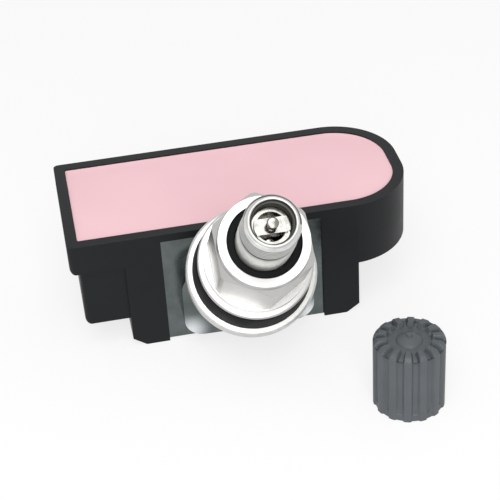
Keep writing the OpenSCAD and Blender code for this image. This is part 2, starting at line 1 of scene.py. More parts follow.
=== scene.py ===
from math import atan2, cos, hypot, pi, radians, sin

import bmesh
import bpy
from mathutils import Matrix, Quaternion, Vector


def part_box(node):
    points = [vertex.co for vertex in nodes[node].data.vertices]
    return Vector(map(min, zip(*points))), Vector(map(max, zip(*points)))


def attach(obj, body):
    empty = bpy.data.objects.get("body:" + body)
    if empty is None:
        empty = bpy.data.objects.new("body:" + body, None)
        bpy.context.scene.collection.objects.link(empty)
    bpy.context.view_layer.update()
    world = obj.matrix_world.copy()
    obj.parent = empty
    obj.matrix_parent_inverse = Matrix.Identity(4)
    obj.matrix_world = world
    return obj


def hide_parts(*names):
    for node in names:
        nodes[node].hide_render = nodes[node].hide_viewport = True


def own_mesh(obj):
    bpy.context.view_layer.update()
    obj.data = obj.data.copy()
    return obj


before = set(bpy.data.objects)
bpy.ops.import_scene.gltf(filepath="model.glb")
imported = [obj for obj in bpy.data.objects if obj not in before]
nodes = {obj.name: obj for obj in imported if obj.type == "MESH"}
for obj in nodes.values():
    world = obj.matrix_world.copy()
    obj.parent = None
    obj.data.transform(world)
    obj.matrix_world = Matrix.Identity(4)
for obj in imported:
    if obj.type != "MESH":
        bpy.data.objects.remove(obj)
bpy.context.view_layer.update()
mm = 0.001


# Housing
# The tray, its stepped block and the two posts are one injection moulding in
# black glass-filled nylon. Every edge has the small radius that a mould leaves,
# and the wide walls carry the fine grain of an eroded tool.

housing_edge = 0.22 * mm
nylon_dark = (0.0048, 0.0056, 0.0066, 1)
nylon_pale = (0.0085, 0.0095, 0.0105, 1)
same_point, same_plane = 0.003 * mm, radians(0.4)
sharp_angle, soft_angle = radians(28), radians(40)
cloud_detail, grain_detail = 3, 2
noise_low, noise_high = 0.3, 0.7


def sharp_edges(bm, angle):
    """The edges whose faces meet at more than this angle."""
    return [e for e in bm.edges if e.calc_face_angle(0) > angle]


def round_edges(bm, edges, edge, segments=2):
    """Rounds these edges."""
    bmesh.ops.bevel(bm, geom=edges, offset=edge, offset_type="OFFSET", segments=segments,
                    profile=0.5, affect="EDGES", clamp_overlap=True, material=-1)


def finished_copy(node, edge=0.0):
    """The CAD node's triangles joined to plain faces, its sharp edges rounded where an edge size is given."""
    bm = bmesh.new()
    bm.from_mesh(nodes[node].data)
    bmesh.ops.remove_doubles(bm, verts=bm.verts, dist=same_point)
    bmesh.ops.dissolve_limit(bm, angle_limit=same_plane, verts=bm.verts, edges=bm.edges)
    if edge:
        round_edges(bm, sharp_edges(bm, sharp_angle), edge)
    return bm


def piece(bm, name, body, replaced, material):
    """Makes the mesh an object that rides on a body and stands for a CAD node."""
    mesh = bpy.data.meshes.new(name)
    bm.to_mesh(mesh)
    bm.free()
    mesh.shade_smooth()
    mesh.set_sharp_from_angle(angle=soft_angle)
    mesh.materials.append(material)
    made = bpy.data.objects.new(name, mesh)
    bpy.context.scene.collection.objects.link(made)
    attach(made, body)
    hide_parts(replaced)
    return made


def even_shading(made):
    """Keeps flat faces flat next to their rounded edges."""
    weighted = made.modifiers.new("even_shading", "WEIGHTED_NORMAL")
    weighted.keep_sharp = True


def new_group(name, sizes, masks):
    """A node group that takes a place and some sizes and puts out masks, with its inlet and outlet."""
    group = bpy.data.node_groups.new(name, "ShaderNodeTree")
    group.interface.new_socket("Vector", in_out="INPUT", socket_type="NodeSocketVector")
    for size in sizes:
        group.interface.new_socket(size, in_out="INPUT", socket_type="NodeSocketFloat")
    for mask in masks:
        group.interface.new_socket(mask, in_out="OUTPUT", socket_type="NodeSocketFloat")
    return group, group.nodes.new("NodeGroupInput"), group.nodes.new("NodeGroupOutput")


def link_all(tree, pairs):
    """Links the two sockets of each pair."""
    for start, end in pairs:
        tree.links.new(start, end)


def noise(tree, detail, place, size, dimensions="3D"):
    """The value of a noise that is read at a place and a size."""
    node = tree.nodes.new("ShaderNodeTexNoise")
    node.noise_dimensions = dimensions
    node.inputs["Detail"].default_value = detail
    link_all(tree, ((place, node.inputs["Vector"]), (size, node.inputs["Scale"])))
    return node.outputs["Fac"]


def rescaled(tree, low, high, new_low, new_high):
    """A node that turns values from low to high into values from new_low to new_high."""
    node = tree.nodes.new("ShaderNodeMapRange")
    for socket, value in (("From Min", low), ("From Max", high), ("To Min", new_low), ("To Max", new_high)):
        node.inputs[socket].default_value = value
    return node


def grain_group():
    """A soft cloud for the tone of a surface and a fine grain for its feel."""
    group, inlet, outlet = new_group("moulded_grain", ("Cloud size", "Grain size"), ("Cloud", "Grain"))
    cloud = noise(group, cloud_detail, inlet.outputs["Vector"], inlet.outputs["Cloud size"])
    grain = noise(group, grain_detail, inlet.outputs["Vector"], inlet.outputs["Grain size"])
    link_all(group, ((cloud, outlet.inputs["Cloud"]), (grain, outlet.inputs["Grain"])))
    return group


def finish(name, dark, pale, rough, pattern, sizes, height, metallic=0.0, specular=0.5, turn=0.0, over=()):
    """A material whose tone and gloss follow a pattern's first mask, and its relief the second.

    Each (pattern, mask, colour) of over lays that colour where the mask is.
    """
    material = bpy.data.materials.new(name)
    material.use_nodes = True
    tree = material.node_tree
    shader = tree.nodes["Principled BSDF"]
    shader.inputs["Metallic"].default_value = metallic
    shader.inputs["Specular IOR Level"].default_value = specular
    place = tree.nodes.new("ShaderNodeTexCoord").outputs["Object"]
    turned_place = tree.nodes.new("ShaderNodeMapping")
    turned_place.inputs["Rotation"].default_value = (-turn, 0, 0)
    group = tree.nodes.new("ShaderNodeGroup")
    group.node_tree = pattern
    group.inputs[1].default_value, group.inputs[2].default_value = sizes
    tone = tree.nodes.new("ShaderNodeMix")
    tone.data_type = "RGBA"
    tone.inputs["A"].default_value, tone.inputs["B"].default_value = dark, pale
    gloss = rescaled(tree, noise_low, noise_high, *rough)
    relief = tree.nodes.new("ShaderNodeBump")
    relief.inputs["Strength"].default_value = 1.0
    relief.inputs["Distance"].default_value = height
    colour = tone.outputs["Result"]
    for source, mask, other in over:
        layer = tree.nodes.new("ShaderNodeMix")
        layer.data_type = "RGBA"
        layer.inputs["B"].default_value = other
        masks = group
        if source != pattern:
            masks = tree.nodes.new("ShaderNodeGroup")
            masks.node_tree = source
            tree.links.new(place, masks.inputs[0])
        link_all(tree, ((colour, layer.inputs["A"]), (masks.outputs[mask], layer.inputs["Factor"])))
        colour = layer.outputs["Result"]
    link_all(tree, (
        (place, turned_place.inputs["Vector"]),
        (turned_place.outputs["Vector"], group.inputs[0]),
        (group.outputs[0], tone.inputs["Factor"]),
        (colour, shader.inputs["Base Color"]),
        (group.outputs[0], gloss.inputs["Value"]),
        (gloss.outputs["Result"], shader.inputs["Roughness"]),
        (group.outputs[1], relief.inputs["Height"]),
        (relief.outputs["Normal"], shader.inputs["Normal"]),
    ))
    return material


moulded_grain = grain_group()
black_nylon = finish("black_nylon", nylon_dark, nylon_pale, rough=(0.42, 0.52), pattern=moulded_grain,
                     sizes=(120, 5200), height=0.012 * mm, specular=0.2)
even_shading(piece(finished_copy("housing", housing_edge), "housing_shell", "sensor", "housing",
                   black_nylon))


# Potting
# Pink silicone gel is poured over the electronics up to the rim. It creeps up
# the walls a little while it sets, so its surface has a low edge all round.

gel_deep = (0.84, 0.53, 0.575, 1)
gel_pale = (0.97, 0.645, 0.69, 1)
gel_rings = ((0.35 * mm, 0.10 * mm), (0.5 * mm, 0.05 * mm), (0.8 * mm, 0.02 * mm))
gel_weld = 0.06 * mm
gel_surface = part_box("potting")[1].z - 0.1 * mm
facing = 0.99
pink_gel = finish("pink_gel", gel_deep, gel_pale, rough=(0.5, 0.62), pattern=moulded_grain,
                  sizes=(45, 600), height=0.02 * mm, specular=0.22)

gel = finished_copy("potting")
bmesh.ops.remove_doubles(gel, verts=gel.verts, dist=gel_weld)
surface = [f for f in gel.faces if f.normal.z > facing and f.calc_center_median().z > gel_surface]
for width, drop in gel_rings:
    bmesh.ops.inset_region(gel, faces=surface, thickness=width, depth=-drop, use_even_offset=False)
even_shading(piece(gel, "gel_poured", "sensor", "potting", pink_gel))


# Stem bracket
# A zinc casting with a dark bright-dipped skin slides into the grooves of the
# two posts. Its foot block and round boss carry the valve stem, which a screw
# holds from behind.

zinc_dark = (0.06, 0.075, 0.073, 1)
zinc_pale = (0.20, 0.225, 0.22, 1)
# Pale tone of the painted highlight on the foot block's lower corners.
zinc_painted_highlight = (0.80, 0.83, 0.86, 1)
block_half, block_front, block_foot = 9.2 * mm, 7.85 * mm, 16.4 * mm
block_edge, bracket_edge, screw_edge = 0.8 * mm, 0.2 * mm, 0.1 * mm
highlight_reach = 3.4 * mm
boss_r = 6.8 * mm
stem_lean = radians(43)
stem_axis = Vector((0, -sin(stem_lean), cos(stem_lean)))
block_play = 0.1 * mm
upright, leaning = 0.05, 0.1


def corner_highlight_group():
    """A mask round the foot block's two lower corners, where a painted highlight lightens the dark skin."""
    group, inlet, outlet = new_group("corner_painted_highlight", (), ("Highlight",))
    either_side = group.nodes.new("ShaderNodeVectorMath")
    either_side.operation = "ABSOLUTE"
    away = group.nodes.new("ShaderNodeVectorMath")
    away.operation = "DISTANCE"
    away.inputs[1].default_value = (block_half, block_front, block_foot)
    fade = rescaled(group, highlight_reach, 0, 0, 1)
    fade.interpolation_type = "SMOOTHSTEP"
    link_all(group, (
        (inlet.outputs["Vector"], either_side.inputs[0]),
        (either_side.outputs[0], away.inputs[0]),
        (away.outputs["Value"], fade.inputs["Value"]),
        (fade.outputs["Result"], outlet.inputs["Highlight"]),
    ))
    return group


def on_block_outline(e):
    """Whether this edge goes round the foot block's front, clear of the boss."""
    if len(e.link_faces) != 2:
        return False
    front, side = sorted(e.link_faces, key=lambda f: f.normal.y)
    middle = (e.verts[0].co + e.verts[1].co) / 2
    on_front = front.normal.y < -facing and middle.y < block_front + block_play
    off_boss = abs(side.normal.dot(stem_axis)) > leaning or abs(middle.x) > boss_r
    return on_front and abs(side.normal.y) < upright and off_boss


corner_painted_highlight = corner_highlight_group()
# The foot block's lower corners get a painted highlight: a pale zinc tone that fades out from each corner.
dipped_zinc = finish("dipped_zinc", zinc_dark, zinc_pale, rough=(0.16, 0.3), pattern=moulded_grain,
                     sizes=(300, 1500), height=0.012 * mm, metallic=1.0,
                     over=((corner_painted_highlight, "Highlight", zinc_painted_highlight),))
casting = finished_copy("stem_bracket")
round_edges(casting, [e for e in casting.edges if on_block_outline(e)], block_edge, segments=4)
round_edges(casting, sharp_edges(casting, sharp_angle), bracket_edge)
even_shading(piece(casting, "bracket_casting", "sensor", "stem_bracket", dipped_zinc))

screw_dark = (0.42, 0.42, 0.41, 1)
screw_pale = (0.60, 0.60, 0.59, 1)
screw_steel = finish("screw_steel", screw_dark, screw_pale, rough=(0.28, 0.4), pattern=moulded_grain,
                     sizes=(600, 5000), height=0.006 * mm, metallic=1.0)
for node, name in (("stem_screw", "bracket_screw"), ("screw_washer", "bracket_screw_washer")):
    even_shading(piece(finished_copy(node, screw_edge), name, "sensor", node, screw_steel))


# Valve stem
# The stem is turned from one aluminium bar: spigot, neck, flange, a smooth
# shank and the fine thread that the cap screws on, with a bore for the core.

along_stem = Matrix.Rotation(stem_lean, 4, "X")
flange_front, flange_back, flange_edge = -5.2 * mm, -7.4 * mm, 0.3 * mm
tip, thread_foot = 23.8 * mm, 17.8 * mm
shank_r, flange_r, nut_thread_r, tip_thread_r = 3.95 * mm, 9.6 * mm, 4.25 * mm, 3.85 * mm
thread_depth, thread_pitch = 0.36 * mm, 0.794 * mm
thread_root_r = tip_thread_r - thread_depth
thread_rise, thread_fall = 0.2 * mm, 0.3 * mm
tip_chamfer_w, tip_chamfer_h, mouth_chamfer = 0.25 * mm, 0.4 * mm, 0.12 * mm
ridge_foot, ridge_end, ridge_chamfer = thread_foot + 0.5 * mm, tip - 0.05 * mm, tip - 0.6 * mm
chamfer_slope = 1.08
mouth_r, core_bore_r, barrel_bore_r, passage_r = 2.94 * mm, 2.65 * mm, 2.1 * mm, 1.6 * mm
mouth_floor, core_seat, barrel_floor = 23.0 * mm, 14.8 * mm, 5.2 * mm
nut_thread_foot, nut_thread_end = 3.2 * mm, 9.7 * mm
bore_thread_pitch, bore_thread_h, bore_thread_half_turns = 0.7 * mm, 0.15 * mm, 20
bore_thread_top, bore_step = mouth_floor - 0.3 * mm, 0.2 * mm
stem_edge, stem_steps = 0.08 * mm, 128
turned_corner, hair = radians(25), 0.001 * mm
neck_gap, neck_sunk = 0.02 * mm, 0.2 * mm


def turned(profile, steps=96, rounding=0.0, segments=2):
    """A closed shape spun about the stem axis from (radius, place) points, its rings rounded."""
    bm = bmesh.new()
    row = [bm.verts.new((r, 0, s)) for r, s in profile]
    rim = [bm.edges.new((a, b)) for a, b in zip(row, row[1:] + row[:1]) if a.co.x or b.co.x]
    bmesh.ops.spin(bm, geom=row + rim, cent=(0, 0, 0), axis=(0, 0, 1), angle=2 * pi, steps=steps,
                   use_merge=True)
    bmesh.ops.remove_doubles(bm, verts=bm.verts, dist=hair)
    bmesh.ops.recalc_face_normals(bm, faces=bm.faces)
    if rounding:
        round_edges(bm, sharp_edges(bm, turned_corner), rounding, segments)
    return bm


def on_stem(bm, turn=0.0):
    """Moves a shape from its own axis to the leaning stem."""
    bmesh.ops.transform(bm, matrix=along_stem @ Matrix.Rotation(turn, 4, "Z"), verts=bm.verts)
    return bm


def join(bm, other):
    """Adds another shape to this one."""
    passing = bpy.data.meshes.new("passing")
    other.to_mesh(passing)
    other.free()
    bm.from_mesh(passing)
    bpy.data.meshes.remove(passing)


def thread(bm, foot, end, crest_r, depth, pitch, chamfer_foot, steps=72):
    """Adds a helical ridge on a thread's root: it rises within one turn and leaves through the chamfer."""
    half, flat, sunk = 0.45 * pitch, 0.08 * pitch, 0.05 * mm
    root = crest_r - depth
    section = [
        (root - sunk, -half), (root, -half), (crest_r, -flat),
        (crest_r, flat), (root, half), (root - sunk, half)
    ]
    turns = (end - foot - 2 * half) / pitch
    count = int(turns * steps)
    ridge = bmesh.new()
    row = [ridge.verts.new((r, 0, foot + half + s)) for r, s in section]
    rim = [ridge.edges.new((a, b)) for a, b in zip(row, row[1:] + row[:1])]
    bmesh.ops.spin(ridge, geom=row + rim, cent=(0, 0, 0), axis=(0, 0, 1), angle=2 * pi * turns,
                   steps=count, dvec=(0, 0, turns * pitch / count), use_merge=False)
    for v in ridge.verts:
        r = hypot(v.co.x, v.co.y)
        rise = max(0.0, min(1.0, (v.co.z - foot) / pitch))
        chamfer_r = crest_r - chamfer_slope * (v.co.z - chamfer_foot)
        wanted = min(root - sunk + (r - root + sunk) * rise, chamfer_r)
        v.co.x, v.co.y = v.co.x * wanted / r, v.co.y * wanted / r
    bmesh.ops.holes_fill(ridge, edges=[e for e in ridge.edges if len(e.link_faces) == 1], sides=0)
    bmesh.ops.recalc_face_normals(ridge, faces=ridge.faces)
    join(bm, ridge)


# Painted shade: the bore inside the mouth and the thread's grooves are darkened, most in a groove's root and
# little on a crest.
bore_look_r = mouth_r + 0.03 * mm
shaded_end = tip - 0.62 * mm
shade_in_groove, shade_on_crest = 1.0, 0.17
turning_cloud_detail, ring_detail = 4, 1


def maths(tree, operation, *values):
    """A Math node with this operation, and the values that come after its first."""
    node = tree.nodes.new("ShaderNodeMath")
    node.operation = operation
    for place, value in enumerate(values, 1):
        node.inputs[place].default_value = value
    return node


def turning_group():
    """A cloud, the rings that a cutting tool leaves, and masks for painted shade in the mouth and in the
    thread's grooves.
    """
    group, inlet, outlet = new_group("turning_marks", ("Cloud size", "Ring size"),
                                     ("Cloud", "Rings", "Inside", "Grooves"))
    parts = group.nodes.new("ShaderNodeSeparateXYZ")
    across = group.nodes.new("ShaderNodeCombineXYZ")
    radius = group.nodes.new("ShaderNodeVectorMath")
    radius.operation = "LENGTH"
    place = group.nodes.new("ShaderNodeCombineXYZ")
    inside = maths(group, "LESS_THAN", bore_look_r)
    sunk = rescaled(group, tip_thread_r - 0.5 * thread_depth, tip_thread_r, shade_in_groove, shade_on_crest)
    on_thread = maths(group, "COMPARE", (thread_foot + shaded_end) / 2, (shaded_end - thread_foot) / 2)
    grooves = maths(group, "MULTIPLY")
    cloud = noise(group, turning_cloud_detail, inlet.outputs["Vector"], inlet.outputs["Cloud size"])
    rings = noise(group, ring_detail, place.outputs[0], inlet.outputs["Ring size"], "2D")
    link_all(group, (
        (inlet.outputs["Vector"], parts.inputs[0]),
        (parts.outputs["X"], across.inputs["X"]),
        (parts.outputs["Y"], across.inputs["Y"]),
        (across.outputs[0], radius.inputs[0]),
        (radius.outputs["Value"], place.inputs["X"]),
        (parts.outputs["Z"], place.inputs["Y"]),
        (radius.outputs["Value"], inside.inputs[0]),
        (radius.outputs["Value"], sunk.inputs["Value"]),
        (parts.outputs["Z"], on_thread.inputs[0]),
        (sunk.outputs["Result"], grooves.inputs[0]),
        (on_thread.outputs[0], grooves.inputs[1]),
        (cloud, outlet.inputs["Cloud"]),
        (rings, outlet.inputs["Rings"]),
        (inside.outputs[0], outlet.inputs["Inside"]),
        (grooves.outputs[0], outlet.inputs["Grooves"]),
    ))
    return group


turning_marks = turning_group()
aluminium_dark = (0.44, 0.445, 0.43, 1)
aluminium_pale = (0.74, 0.74, 0.72, 1)
# Dark tones of the painted shade in the thread's grooves and in the bore.
groove_painted_shade = (0.07, 0.074, 0.07, 1)
bore_painted_shade = (0.13, 0.128, 0.118, 1)
painted_shade_layers = ((turning_marks, "Grooves", groove_painted_shade), (turning_marks, "Inside", bore_painted_shade))
turned_aluminium = finish("turned_aluminium", aluminium_dark, aluminium_pale, rough=(0.38, 0.5),
                          pattern=turning_marks, sizes=(900, 4000), height=0.003 * mm, metallic=0.8,
                          turn=stem_lean, over=painted_shade_layers)

stem_outside = [
    (passage_r, flange_back), (flange_r - flange_edge, flange_back), (flange_r, flange_back + flange_edge),
    (flange_r, flange_front - flange_edge), (flange_r - flange_edge, flange_front), (shank_r, flange_front),
    (shank_r, nut_thread_foot - thread_rise), (nut_thread_r, nut_thread_foot),
    (nut_thread_r, nut_thread_end), (shank_r, nut_thread_end + thread_fall),
    (shank_r, thread_foot), (thread_root_r, thread_foot + thread_fall),
    (thread_root_r, tip - tip_chamfer_h), (thread_root_r - tip_chamfer_w, tip)
]
bore_thread = [
    (core_bore_r + bore_thread_h * (i % 2), bore_thread_top - bore_thread_pitch * i / 2)
    for i in range(bore_thread_half_turns)
]
stem_bore = [
    (mouth_r + mouth_chamfer, tip), (mouth_r, tip - mouth_chamfer), (mouth_r, mouth_floor),
    (core_bore_r, mouth_floor - bore_step), *bore_thread, (core_bore_r, core_seat),
    (barrel_bore_r, core_seat), (barrel_bore_r, barrel_floor), (passage_r, barrel_floor)
]
stem = turned(stem_outside + stem_bore, steps=stem_steps, rounding=stem_edge)
thread(stem, ridge_foot, ridge_end, tip_thread_r, thread_depth, thread_pitch, ridge_chamfer)
on_stem(stem)
spigot = finished_copy("valve_stem")
bmesh.ops.bisect_plane(spigot, geom=spigot.verts[:] + spigot.edges[:] + spigot.faces[:], dist=hair,
                       plane_co=stem_axis * (flange_back - neck_gap), plane_no=stem_axis, clear_outer=True)
neck_end = [e for e in spigot.edges if len(e.link_faces) == 1]
bmesh.ops.bridge_loops(spigot, edges=neck_end)
bmesh.ops.translate(spigot, verts=list({v for e in neck_end for v in e.verts}), vec=stem_axis * neck_sunk)
bmesh.ops.recalc_face_normals(spigot, faces=spigot.faces)
join(stem, spigot)
piece(stem, "stem_turned", "sensor", "valve_stem", turned_aluminium)


# Grommet and nut
# A black rubber grommet seals the rim's hole. The nut with its captive washer
# screws down on it, and a black ring closes the nut's mouth round the stem.

rubber_dark = (0.0045, 0.0048, 0.0052, 1)
rubber_pale = (0.009, 0.0095, 0.010, 1)
black_rubber = finish("black_rubber", rubber_dark, rubber_pale, rough=(0.62, 0.78), pattern=moulded_grain,
                      sizes=(300, 6000), height=0.004 * mm, specular=0.1)
plating_dark = (0.44, 0.437, 0.428, 1)
plating_pale = (0.58, 0.574, 0.562, 1)
bright_plating = finish("bright_plating", plating_dark, plating_pale, rough=(0.28, 0.36),
                        pattern=moulded_grain, sizes=(70, 3000), height=0.0008 * mm, metallic=1.0)

grommet_bore_r, grommet_foot_r, grommet_top_r, grommet_chamfer = 4.0 * mm, 8.7 * mm, 8.3 * mm, 0.6 * mm
grommet_neck_r, grommet_neck, neck_chamfer, grommet_edge = 5.65 * mm, 2.8 * mm, 0.3 * mm, 0.2 * mm
grommet = turned([
    (grommet_bore_r, flange_front), (grommet_foot_r, flange_front), (grommet_top_r, -grommet_chamfer),
    (grommet_top_r - grommet_chamfer, 0), (grommet_neck_r, 0), (grommet_neck_r, grommet_neck - neck_chamfer),
    (grommet_neck_r - neck_chamfer, grommet_neck), (grommet_bore_r, grommet_neck)
], rounding=grommet_edge)
piece(on_stem(grommet), "grommet_rubber", "sensor", "rim_grommet", black_rubber)

nut_seat, washer_r, washer_bore_r, washer_edge = 0.9 * mm, 8.3 * mm, 5.75 * mm, 0.3 * mm
washer = turned([
    (washer_bore_r, 0), (washer_r, 0), (washer_r, nut_seat), (washer_bore_r, nut_seat)
], steps=128, rounding=washer_edge, segments=3)
piece(on_stem(washer), "washer_turned", "washer", "nut_washer", bright_plating)

flat_r, bar_r, collar_r, front_r, nut_bore_r = 6.5 * mm, 7.3 * mm, 6.4 * mm, 6.3 * mm, 4.3 * mm
collar_h, corner_chamfer, nut_edge = 1.4 * mm, 0.6 * mm, 0.06 * mm
foot_r, foot_top, nut_front = 7.5 * mm, nut_seat + 1.4 * mm, 13.1 * mm
hex_top = nut_front - collar_h
neck_pocket_top = grommet_neck + 0.3 * mm
pocket_r, pocket_floor = 5.1 * mm, nut_front - 2.2 * mm
nut_corner, nut_plane, nut_sharp = radians(91), radians(1), radians(14)
near = 0.01 * mm

nut = turned([
    (nut_bore_r, neck_pocket_top), (washer_bore_r, neck_pocket_top), (washer_bore_r, nut_seat),
    (foot_r, nut_seat), (foot_r, foot_top), (bar_r, foot_top), (bar_r, hex_top - corner_chamfer),
    (collar_r, hex_top), (front_r, nut_front), (pocket_r, nut_front), (pocket_r, pocket_floor),
    (nut_bore_r, pocket_floor)
], steps=120)
for v in nut.verts:
    r = hypot(v.co.x, v.co.y)
    if abs(r - bar_r) < near:
        off_middle = atan2(v.co.y, v.co.x) % (pi / 3) - pi / 6
        side = min(bar_r, flat_r / cos(off_middle))
        if v.co.z > foot_top + near:
            v.co.z = hex_top - (side - collar_r) / (bar_r - collar_r) * corner_chamfer
        v.co.x, v.co.y = v.co.x * side / r, v.co.y * side / r
bmesh.ops.dissolve_limit(nut, angle_limit=nut_plane, verts=nut.verts, edges=nut.edges)
round_edges(nut, sharp_edges(nut, nut_sharp), nut_edge)
even_shading(piece(on_stem(nut, nut_corner), "nut_hexagon", "nut", "hex_nut", bright_plating))

ring_bore_r, ring_top, ring_edge = 4.05 * mm, nut_front - 0.3 * mm, 0.2 * mm
ring = turned([
    (ring_bore_r, pocket_floor), (pocket_r, pocket_floor), (pocket_r, ring_top), (ring_bore_r, ring_top)
], rounding=ring_edge, segments=3)
piece(on_stem(ring), "nut_mouth_ring", "nut", "nut_ring", black_rubber)


# Valve core
# The plated brass core screws into the stem's mouth. Its plug has a bridge for
# the core tool, the head of the pin stands in the middle, and a coil of steel
# wire under the pin's collar pushes it back up.

plated_dark = (0.03, 0.03, 0.025, 1)
plated_pale = (0.48, 0.47, 0.44, 1)
plug_edge = 0.07 * mm
plated_brass = finish("plated_brass", plated_dark, plated_pale, rough=(0.1, 0.2), pattern=turning_marks,
                      sizes=(1100, 7000), height=0.004 * mm, metallic=1.0, turn=stem_lean)
even_shading(piece(finished_copy("core_plug", plug_edge), "core_plug_milled", "sensor", "core_plug",
                   plated_brass))

pin_r, pin_head_r, pin_collar_r, pin_edge = 0.5 * mm, 0.8 * mm, 1.35 * mm, 0.03 * mm
pin_foot, pin_top, pin_travel = 7.2 * mm, 23.4 * mm, 1.2 * mm
pin_collar, pin_collar_top = 16.6 * mm, 16.9 * mm
head_h, head_side_h, head_taper, crown_w, crown_h = 0.3 * mm, 0.25 * mm, 0.03 * mm, 0.2 * mm, 0.1 * mm
pin = turned([
    (0, pin_foot), (pin_r, pin_foot), (pin_r, pin_collar), (pin_collar_r, pin_collar),
    (pin_collar_r, pin_collar_top), (pin_r, pin_collar_top), (pin_r, pin_top - head_h),
    (pin_head_r, pin_top - head_side_h), (pin_head_r - head_taper, pin_top - crown_h),
    (pin_head_r - crown_w, pin_top), (0, pin_top)
], steps=48, rounding=pin_edge)
piece(on_stem(pin), "core_pin_turned", "pin", "core_pin", plated_brass)

wire_dark = (0.5, 0.5, 0.5, 1)
wire_pale = (0.66, 0.66, 0.66, 1)
spring_wire = finish("spring_wire", wire_dark, wire_pale, rough=(0.2, 0.35), pattern=moulded_grain,
                     sizes=(500, 6000), height=0.005 * mm, metallic=1.0)
coil = finished_copy("core_spring")
spring = piece(coil, "return_spring", "sensor", "core_spring", spring_wire)
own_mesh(spring)


# Valve cap
# The grey plastic cap stands beside the sensor, unscrewed. Fourteen rounded
# grip ribs run from its foot over the shoulder to a low cone with a nub.

cap_low, cap_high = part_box("valve_cap")
cap_middle, cap_foot = (cap_low + cap_high) / 2, cap_low.z
cap_h, cap_r, cap_ribs = cap_high.z - cap_low.z, 5.2 * mm, 14
rib_turn, rib_half, rib_slope, rib_round = radians(7.5), 0.45 * mm, 0.4 * mm, 0.06 * mm
rib_top, rib_end_r, rib_end_slope = cap_h - 0.4 * mm, 3.2 * mm, 0.12 * mm
rib_end_half, rib_root_half = 0.42 * mm, 0.66 * mm
valley_depth, valley_slope, valley_start, valley_run = 0.36 * mm, 0.3 * mm, 0.4 * mm, 0.6 * mm
flat_top = rib_top - 0.75 * mm
skirt_r, skirt_h, skirt_step, shoulder = 4.95 * mm, 1.1 * mm, 0.08 * mm, 1.0 * mm
wall_rings, shoulder_turn, steps_between_ribs = 6, 15, 20
rib_end_rings = (0.6 * mm, 0.3 * mm)
cone_r, cone_foot_w, cone_foot_h = 1.9 * mm, 0.15 * mm, 0.04 * mm
cone_side_w, cone_side_h, cone_top_w, cone_top_h = 0.12 * mm, 0.26 * mm, 0.3 * mm, 0.34 * mm
nub_r, nub_foot_w, nub_foot_h, nub_h = 0.45 * mm, 0.35 * mm, 0.36 * mm, 0.28 * mm
nub_taper, nub_dimple = 0.05 * mm, 0.03 * mm
cap_bore_r, cap_bore_h, seal_bore_r, seal_top = 3.95 * mm, 8.5 * mm, 3.05 * mm, 9.3 * mm


def soft_step(x):
    """A smooth rise from 0 to 1."""
    x = max(0.0, min(1.0, x))
    return x * x * (3 - 2 * x)


def rib_reach(off):
    """Radius of the wall at this angle from a rib's middle: rounded rib, soft slope, valley."""
    across = abs(off) * cap_r
    crown = rib_round * min(1.0, across / (rib_half + rib_slope)) ** 2
    return cap_r - crown - valley_depth * soft_step((across - rib_half) / rib_slope)


cap_skirt = [
    (cap_bore_r, 0), (skirt_r, 0), (cap_r, 0), (cap_r, skirt_h - skirt_step), (cap_r, skirt_h + skirt_step)
]
cap_wall = [
    (cap_r, skirt_h + (rib_top - shoulder - skirt_h) * i / wall_rings) for i in range(1, wall_rings)
]
cap_shoulder = [
    (cap_r - shoulder * (1 - cos(radians(a))), rib_top - shoulder * (1 - sin(radians(a))))
    for a in range(0, 91, shoulder_turn)
]
cap_top = [
    *((rib_end_r + w, rib_top) for w in rib_end_rings), (rib_end_r + rib_end_slope, rib_top),
    (rib_end_r - rib_end_slope, flat_top), (cone_r + cone_foot_w, flat_top), (cone_r, flat_top + cone_foot_h),
    (cone_r - cone_side_w, flat_top + cone_side_h), (cone_r - cone_top_w, flat_top + cone_top_h),
    (nub_r + nub_foot_w, cap_h - nub_foot_h), (nub_r, cap_h - nub_h), (nub_r - nub_taper, cap_h),
    (0, cap_h - nub_dimple)
]
cap_inside = [
    (0, seal_top), (seal_bore_r, seal_top), (seal_bore_r, cap_bore_h), (cap_bore_r, cap_bore_h)
]
cap = turned(cap_skirt + cap_wall + cap_shoulder + cap_top + cap_inside, steps=cap_ribs * steps_between_ribs)
for v in cap.verts:
    r, z = hypot(v.co.x, v.co.y), v.co.z
    off = (atan2(v.co.y, v.co.x) + pi / cap_ribs) % (2 * pi / cap_ribs) - pi / cap_ribs
    if r > rib_end_r and z < skirt_h:
        if r > cap_r - near:
            r = max(rib_reach(off), skirt_r + near)
    elif r > cap_r - near:
        r = rib_reach(off)
    elif r > rib_end_r and z > flat_top + near:
        half = rib_end_half + (rib_root_half - rib_end_half) * (r - rib_end_r) / (cap_r - rib_end_r)
        valley = soft_step((abs(r * sin(off)) - half) / valley_slope + 0.5)
        z -= (rib_top - flat_top) * valley
        r -= (valley_depth + rib_round) * valley * soft_step((r - rib_end_r - valley_start) / valley_run)
    if r > 0:
        v.co = Vector((v.co.x, v.co.y, 0)) * (r / hypot(v.co.x, v.co.y)) + Vector((0, 0, z))
cap_place = Matrix.Translation((cap_middle.x, cap_middle.y, cap_foot))
bmesh.ops.transform(cap, verts=cap.verts, matrix=cap_place @ Matrix.Rotation(pi / 2 + rib_turn, 4, "Z"))
cap_dark = (0.066, 0.074, 0.081, 1)
cap_pale = (0.100, 0.110, 0.119, 1)
cap_grey = finish("cap_grey", cap_dark, cap_pale, rough=(0.42, 0.54), pattern=moulded_grain,
                  sizes=(260, 3000), height=0.012 * mm, specular=0.35)
piece(cap, "cap_moulded", "sensor", "valve_cap", cap_grey)


# Inside the sensor
# Board, chip, coil, aerial, button cell, the core's barrel and the seals are
# hidden by the potting, the stem and the cap. They keep their CAD shapes and
# each gets a dark and a pale tone, its metal and its gloss.

